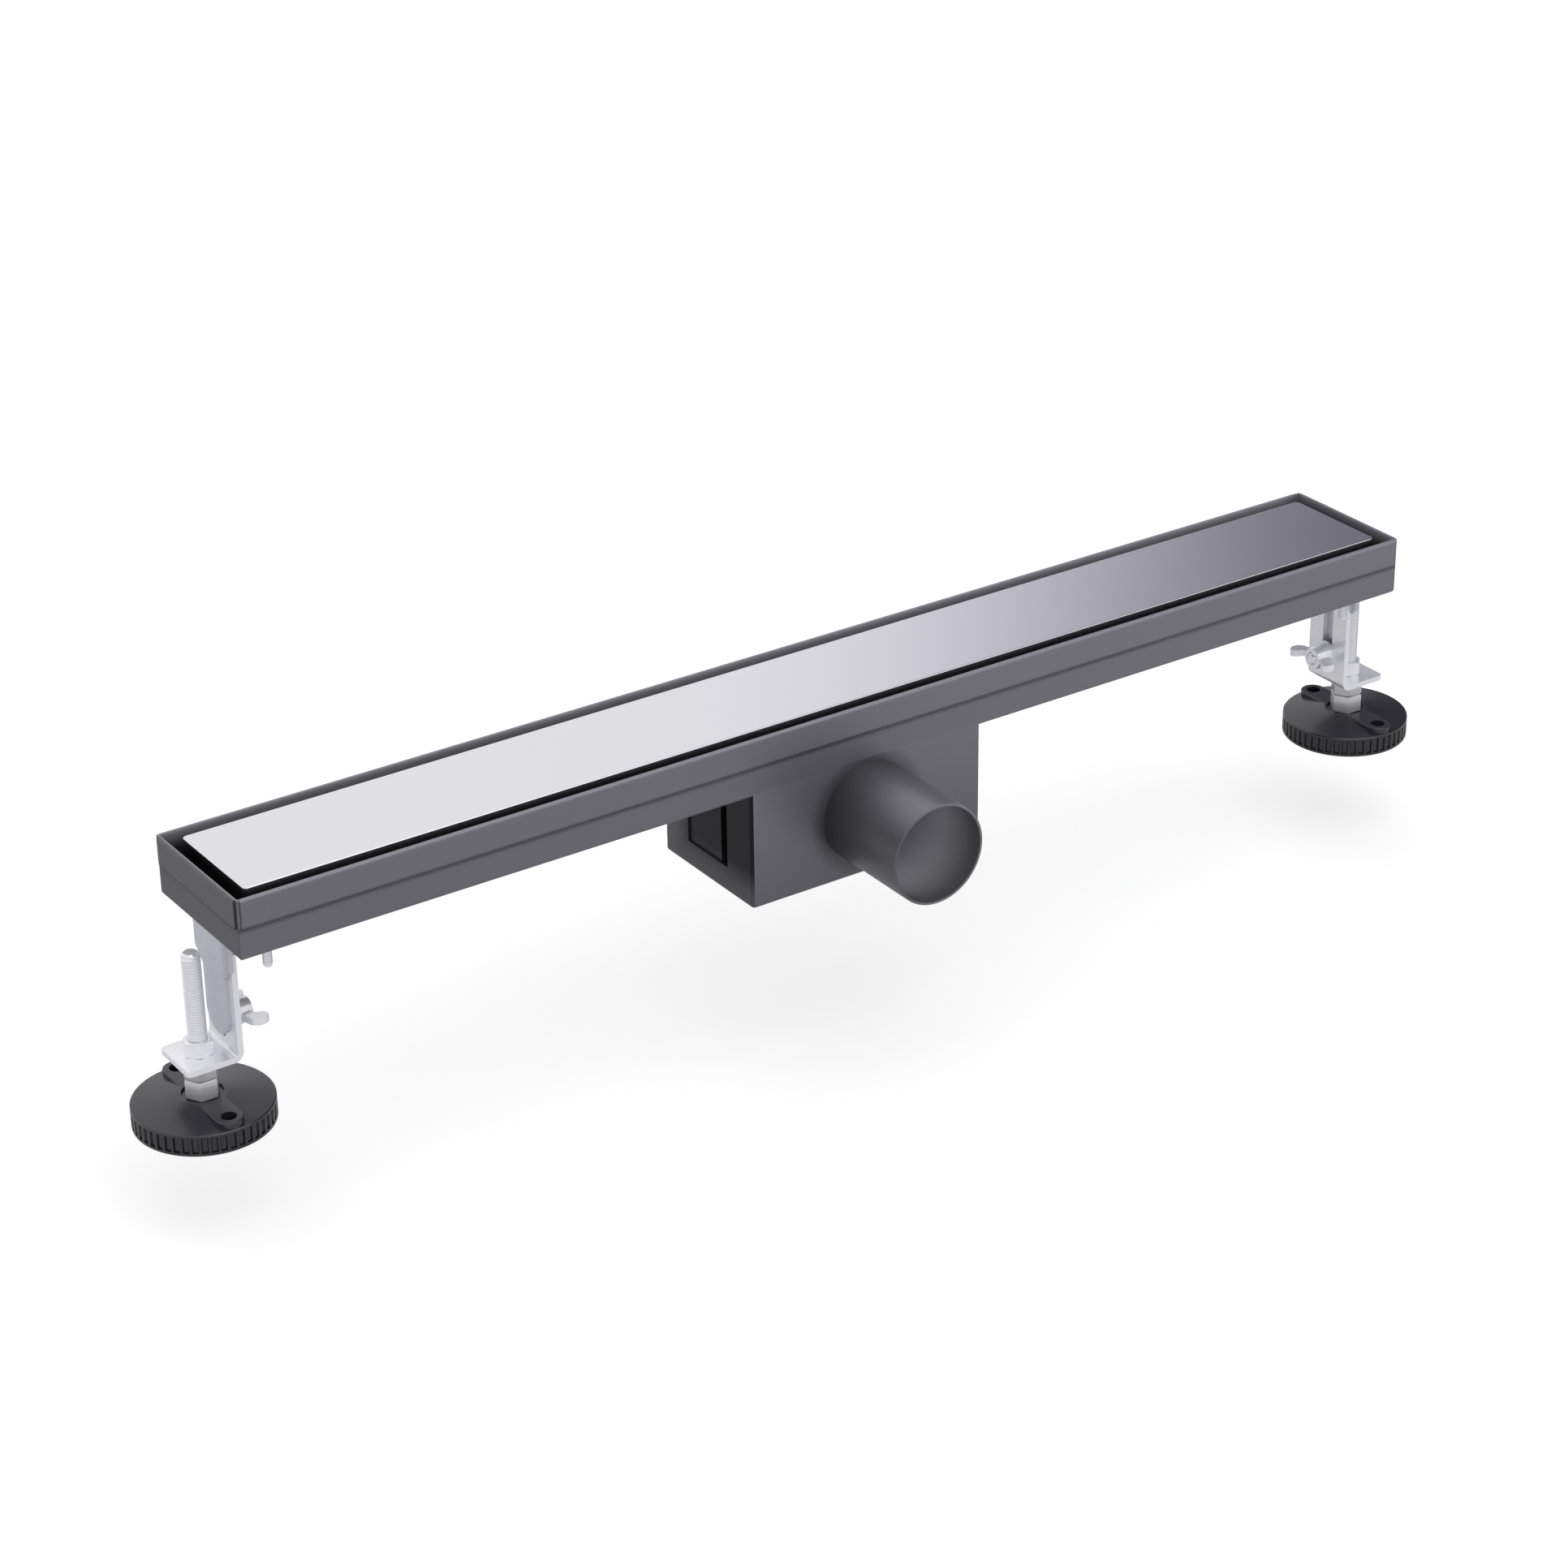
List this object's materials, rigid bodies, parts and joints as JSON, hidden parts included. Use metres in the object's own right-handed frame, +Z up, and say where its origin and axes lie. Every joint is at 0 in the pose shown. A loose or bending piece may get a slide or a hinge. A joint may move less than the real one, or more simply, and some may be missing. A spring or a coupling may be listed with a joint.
{
  "type": "linear shower drain",
  "caption": "Long shower channel with a flush solid cover, a central trap box with a round side outlet and height-adjustable legs",
  "frame": {"origin": "centre of the cover's top face, which is level with the channel's rim and the finished floor", "axes": "+X along the channel, +Z up, -Y the way the outlet pipe points"},
  "size_m": [0.6686, 0.12, 0.1128],
  "materials": {
    "dark_steel": "brushed dark grey stainless steel",
    "satin_cover": "finely brushed bright stainless steel",
    "strainer_steel": "polished stainless steel",
    "hanger_zinc": "bright zinc-plated sheet",
    "leg_zinc": "bright zinc plating",
    "foot_plastic": "moulded black plastic, slightly satin",
    "core_plastic": "moulded dark grey plastic",
    "seal_rubber": "black rubber",
    "valve_rubber": "soft translucent silicone"
  },
  "bodies": {
    "drain": {"channel_body": "dark_steel", "channel_end_left": "dark_steel", "channel_end_right": "dark_steel", "drain_dish": "dark_steel", "strainer_sieve": "strainer_steel", "cover_plate": "satin_cover", "trap_box": "dark_steel", "outlet_pipe": "dark_steel", "core_seal": "seal_rubber", "trap_core": "core_plastic", "membrane_valve": "valve_rubber", "hair_strainer": "strainer_steel", "cover_support_outer_left": "dark_steel", "cover_support_inner_left": "dark_steel", "cover_support_inner_right": "dark_steel", "cover_support_outer_right": "dark_steel", "left_hanger_studs": "dark_steel", "left_hanger_bracket": "hanger_zinc", "left_hanger_nuts": "leg_zinc", "left_clamp_stud": "leg_zinc", "right_hanger_studs": "dark_steel", "right_hanger_bracket": "hanger_zinc", "right_hanger_nuts": "leg_zinc", "right_clamp_stud": "leg_zinc"},
    "left_leg": {"left_leg_bracket": "leg_zinc", "left_fixed_nut": "leg_zinc", "left_lock_nut": "leg_zinc"},
    "left_washer": {"left_clamp_washer": "leg_zinc"},
    "left_wing": {"left_wing_nut": "leg_zinc"},
    "left_foot_body": {"left_foot": "foot_plastic"},
    "left_screw": {"left_spindle": "leg_zinc"},
    "right_leg": {"right_leg_bracket": "leg_zinc", "right_fixed_nut": "leg_zinc", "right_lock_nut": "leg_zinc"},
    "right_washer": {"right_clamp_washer": "leg_zinc"},
    "right_wing": {"right_wing_nut": "leg_zinc"},
    "right_foot_body": {"right_foot": "foot_plastic"},
    "right_screw": {"right_spindle": "leg_zinc"}
  },
  "joints": [
    {"name": "left_leg_height", "type": "slide", "parent": "drain", "child": "left_leg", "axis": [0, 0, 1], "range_m": [-0.024, 0.003]},
    {"name": "left_foot_height", "type": "slide", "parent": "left_leg", "child": "left_foot_body", "axis": [0, 0, 1], "range_m": [-0.0201, 0.0001]},
    {"name": "left_spindle_turn", "type": "hinge", "parent": "left_foot_body", "child": "left_screw", "pos_m": [-0.3048, 0, -0.07], "axis": [0, 0, 1], "range_deg": [-5760, 0]},
    {"name": "left_washer_slide", "type": "slide", "parent": "drain", "child": "left_washer", "axis": [1, 0, 0], "range_m": [-0.0001, 0.0021]},
    {"name": "left_wing_turn", "type": "hinge", "parent": "left_washer", "child": "left_wing", "pos_m": [-0.285, 0, -0.069], "axis": [1, 0, 0], "range_deg": [0, 720]},
    {"name": "right_leg_height", "type": "slide", "parent": "drain", "child": "right_leg", "axis": [0, 0, 1], "range_m": [-0.024, 0.003]},
    {"name": "right_foot_height", "type": "slide", "parent": "right_leg", "child": "right_foot_body", "axis": [0, 0, 1], "range_m": [-0.0201, 0.0001]},
    {"name": "right_spindle_turn", "type": "hinge", "parent": "right_foot_body", "child": "right_screw", "pos_m": [0.3048, 0, -0.07], "axis": [0, 0, 1], "range_deg": [-5760, 0]},
    {"name": "right_washer_slide", "type": "slide", "parent": "drain", "child": "right_washer", "axis": [-1, 0, 0], "range_m": [-0.0001, 0.0021]},
    {"name": "right_wing_turn", "type": "hinge", "parent": "right_washer", "child": "right_wing", "pos_m": [0.285, 0, -0.069], "axis": [-1, 0, 0], "range_deg": [0, 720]}
  ],
  "couplings": [
    {"joint": "left_foot_height", "follows": "left_spindle_turn", "m_per_rad": 0.00019894},
    {"joint": "left_washer_slide", "follows": "left_wing_turn", "m_per_rad": 0.00015915},
    {"joint": "right_foot_height", "follows": "right_spindle_turn", "m_per_rad": 0.00019894},
    {"joint": "right_washer_slide", "follows": "right_wing_turn", "m_per_rad": 0.00015915}
  ]
}
